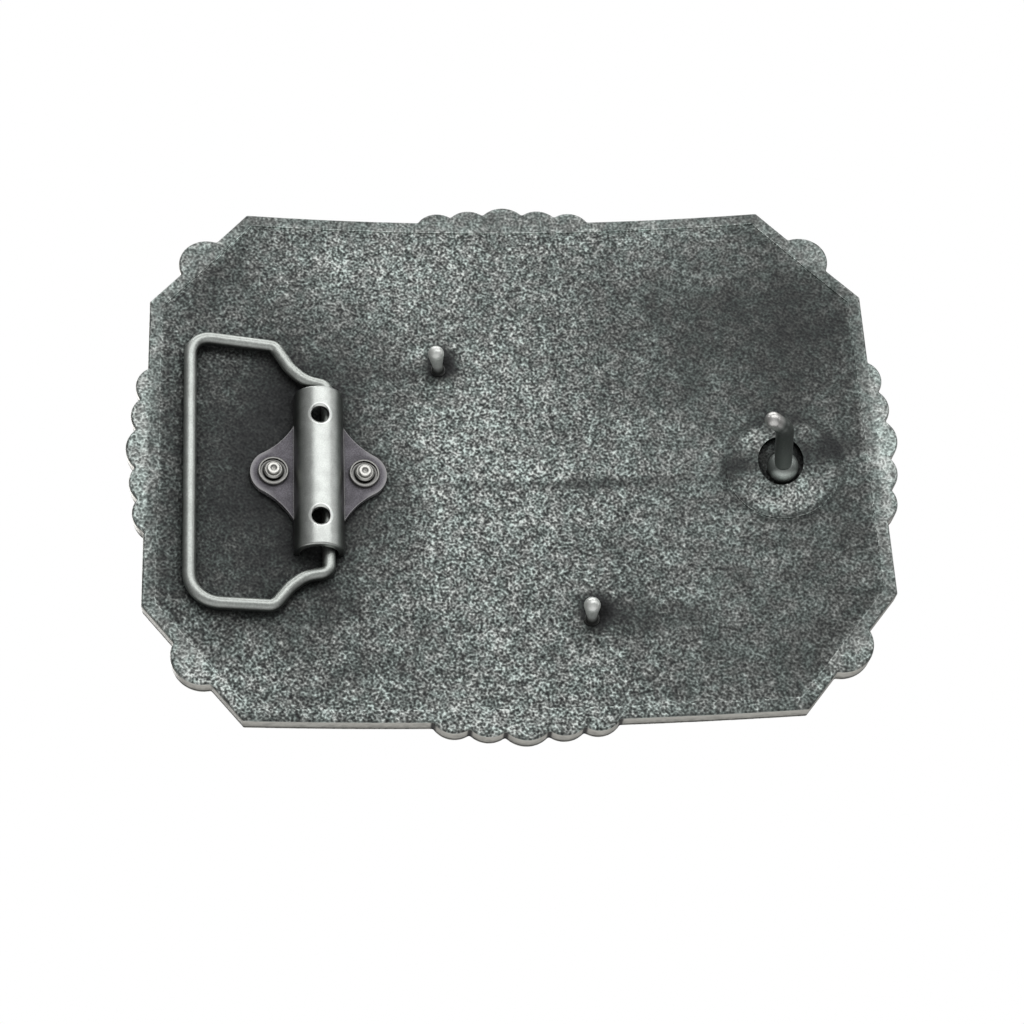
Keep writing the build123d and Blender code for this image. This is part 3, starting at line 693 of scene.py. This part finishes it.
def rope(name, outline, radius, thickness, material):
    """Three-strand twisted rope along a closed outline on the front."""
    vertices, faces = [], []
    count = len(outline)
    strand_turns = round(count * ROPE_STEP / ROPE_PITCH / ROPE_STRANDS)
    twist = 2 * pi * ROPE_STRANDS * strand_turns / count
    for i, (x, z) in enumerate(outline):
        before, after = outline[i - 1], outline[(i + 1) % count]
        out = front_normal(x)
        along = Vector((after[0] - before[0], 0.0, after[1] - before[1])).normalized()
        across = along.cross(out).normalized()
        centre = front_point(x, z, radius)
        this, following = i * ROPE_SIDES, (i + 1) % count * ROPE_SIDES
        for j in range(ROPE_SIDES):
            angle = 2 * pi * j / ROPE_SIDES
            lobe = thickness * (1 + ROPE_LOBE * cos(ROPE_STRANDS * angle - twist * i)) * MM
            vertices.append(centre + across * (cos(angle) * lobe) + out * (sin(angle) * lobe))
            after_j = (j + 1) % ROPE_SIDES
            faces.append((this + j, this + after_j, following + after_j, following + j))
    new_piece(name, vertices, faces, material)


def bead_row(name, outline, radius, size, material):
    """Small round beads in a row, half sunk in the front."""
    ball = bmesh.new()
    bmesh.ops.create_uvsphere(ball, u_segments=12, v_segments=8, radius=size * MM)
    ball.verts.index_update()
    corners = [vertex.co.copy() for vertex in ball.verts]
    patches = [[vertex.index for vertex in face.verts] for face in ball.faces]
    ball.free()
    vertices, faces = [], []
    for x, z in outline:
        first = len(vertices)
        centre = front_point(x, z, radius)
        vertices += [centre + corner for corner in corners]
        faces += [[first + index for index in patch] for patch in patches]
    new_piece(name, vertices, faces, material)


def dome_height(share, angle):
    """Height of the fluted dome at a share of the way from its middle to its rim."""
    dome = MEDALLION_HEIGHT * sqrt(1 - MEDALLION_FALL * share**2)
    flute = MEDALLION_FLUTE * abs(cos(MEDALLION_RAYS * angle / 2)) * share * (1 - share**6)
    return dome + flute


def medallion(name, half_x, half_z, material):
    """Low oval dome with sunburst flutes in the middle of the front."""
    count = MEDALLION_SPOKES
    vertices = [front_point(0, 0, PANEL_RADIUS + MEDALLION_HEIGHT)]
    for i in range(1, MEDALLION_RINGS + 1):
        share = i / MEDALLION_RINGS
        for j, (x, z) in enumerate(oval(half_x * share, half_z * share, count)):
            height = dome_height(share, 2 * pi * j / count)
            vertices.append(front_point(x, z, PANEL_RADIUS + height))
    bottom = len(vertices)
    for x, z in oval(half_x, half_z, count):
        vertices.append(front_point(x, z, PANEL_RADIUS - MEDALLION_SUNK))

    faces = [(0, 1 + j, 1 + (j + 1) % count) for j in range(count)]
    for inner in range(1, bottom, count):
        outer = inner + count
        for j in range(count):
            after = (j + 1) % count
            faces.append((inner + j, outer + j, outer + after, inner + after))
    faces.append(tuple(range(bottom, bottom + count)))
    new_piece(name, vertices, faces, material)


def decorate_front():
    """Generic trophy-buckle ornament: the front isn't in the photo."""
    silver = polished_silver()
    border = walk(octagon_corners(ROPE_INSET), ROPE_STEP)
    rope("rope_border", border, FRAME_RADIUS, ROPE_RADIUS, silver)
    beads = walk(octagon_corners(BEAD_INSET), BEAD_SPACING)
    bead_row("bead_border", beads, FRONT_RADIUS, BEAD_RADIUS, silver)
    medallion("sunburst_medallion", *MEDALLION_HALF, silver)
    ring = walk(oval(*MEDALLION_ROPE_HALF, MEDALLION_ROPE_CORNERS), ROPE_STEP)
    ring_radius = PANEL_RADIUS + MEDALLION_ROPE_LIFT
    rope("medallion_rope", ring, ring_radius, MEDALLION_ROPE_RADIUS, silver)


def paint(node, material):
    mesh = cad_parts[node].data
    mesh.materials.clear()
    mesh.materials.append(material)


def make_camera():
    data = bpy.data.cameras.new("camera")
    data.lens = CAMERA_LENS
    data.sensor_width = CAMERA_SENSOR
    data.clip_start = 0.01
    camera = bpy.data.objects.new("camera", data)
    look = CAMERA_LOOK.normalized()
    right = look.cross(CAMERA_UP).normalized()
    up = right.cross(look)
    turn = Matrix((right, up, -look)).transposed()
    camera.matrix_world = Matrix.Translation(CAMERA_PLACE) @ turn.to_4x4()
    bpy.context.scene.collection.objects.link(camera)
    bpy.context.scene.camera = camera


def make_softbox(name, place, size, power):
    """Rectangular light aimed at the buckle, not seen by the camera."""
    data = bpy.data.lights.new(name, "AREA")
    data.shape = "RECTANGLE"
    data.size, data.size_y = size
    data.energy = power
    light = bpy.data.objects.new(name, data)
    light.location = place
    light.rotation_euler = (-Vector(place)).to_track_quat("-Z", "Y").to_euler()
    light.visible_camera = False
    bpy.context.scene.collection.objects.link(light)


def make_world():
    """White to the camera; dim at the sides and lighter below in what the metal mirrors."""
    world = bpy.data.worlds.new("studio")
    world.use_nodes = True
    nodes, links = world.node_tree.nodes, world.node_tree.links

    def ranged(value, low, high, out_low, out_high):
        node = nodes.new("ShaderNodeMapRange")
        node.interpolation_type = "SMOOTHSTEP"
        links.new(value, node.inputs["Value"])
        limits = {"From Min": low, "From Max": high, "To Min": out_low, "To Max": out_high}
        for name, number in limits.items():
            node.inputs[name].default_value = number
        return node.outputs[0]

    split = nodes.new("ShaderNodeSeparateXYZ")
    links.new(nodes.new("ShaderNodeTexCoord").outputs["Generated"], split.inputs[0])
    sideways = nodes.new("ShaderNodeMath")
    sideways.operation = "ABSOLUTE"
    links.new(split.outputs["X"], sideways.inputs[0])
    around = ranged(sideways.outputs[0], 0.45, 0.95, WORLD_MIDDLE, WORLD_SIDES)
    below = ranged(split.outputs["Z"], -0.95, -0.35, WORLD_BELOW, 0.0)
    level = nodes.new("ShaderNodeMath")
    level.operation = "ADD"
    links.new(around, level.inputs[0])
    links.new(below, level.inputs[1])
    seen = nodes.new("ShaderNodeMix")
    links.new(nodes.new("ShaderNodeLightPath").outputs["Is Camera Ray"], seen.inputs["Factor"])
    links.new(level.outputs[0], seen.inputs[2])
    seen.inputs[3].default_value = 1.0
    background = nodes["Background"]
    links.new(seen.outputs[0], background.inputs["Strength"])
    background.inputs["Color"].default_value = (1, 1, 1, 1)
    bpy.context.scene.world = world


def floor_paper():
    """Pale matt floor that can be seen only from above."""
    material = bpy.data.materials.new("floor")
    material.use_nodes = True
    nodes, links = material.node_tree.nodes, material.node_tree.links
    nodes.clear()
    geometry = nodes.new("ShaderNodeNewGeometry")
    diffuse = nodes.new("ShaderNodeBsdfDiffuse")
    diffuse.inputs["Color"].default_value = FLOOR_COLOR
    clear = nodes.new("ShaderNodeBsdfTransparent")
    mix = nodes.new("ShaderNodeMixShader")
    output = nodes.new("ShaderNodeOutputMaterial")
    links.new(geometry.outputs["Backfacing"], mix.inputs[0])
    links.new(diffuse.outputs[0], mix.inputs[1])
    links.new(clear.outputs[0], mix.inputs[2])
    links.new(mix.outputs[0], output.inputs["Surface"])
    return material


def make_floor():
    """Floor below the buckle, left out of what the metal mirrors."""
    reach = FLOOR_HALF_SIZE
    corners = [(-reach, -reach, 0), (reach, -reach, 0), (reach, reach, 0), (-reach, reach, 0)]
    mesh = bpy.data.meshes.new("floor")
    mesh.from_pydata(corners, [], [(0, 1, 2, 3)])
    mesh.materials.append(floor_paper())
    floor = bpy.data.objects.new("floor", mesh)
    lowest = cad_bounds[0][2]
    floor.location = (0, 0, lowest)
    bpy.context.scene.collection.objects.link(floor)
    floor.visible_diffuse = False
    floor.visible_glossy = False
    floor.visible_shadow = False


paint("buckle_plate", cast_silver())
paint("belt_hook", hook_steel())
peg_metal = peg_silver()
paint("upper_peg", peg_metal)
paint("lower_peg", peg_metal)
paint("bale_bracket", pressed_steel())
paint("bracket_rivets", rivet_nickel())
paint("rivet_washers", washer_nickel())
paint("bale_loop", antiqued_wire())

decorate_front()
make_world()
make_floor()
make_camera()
for softbox in SOFTBOXES:
    make_softbox(*softbox)
bpy.context.scene.view_settings.view_transform = "Standard"
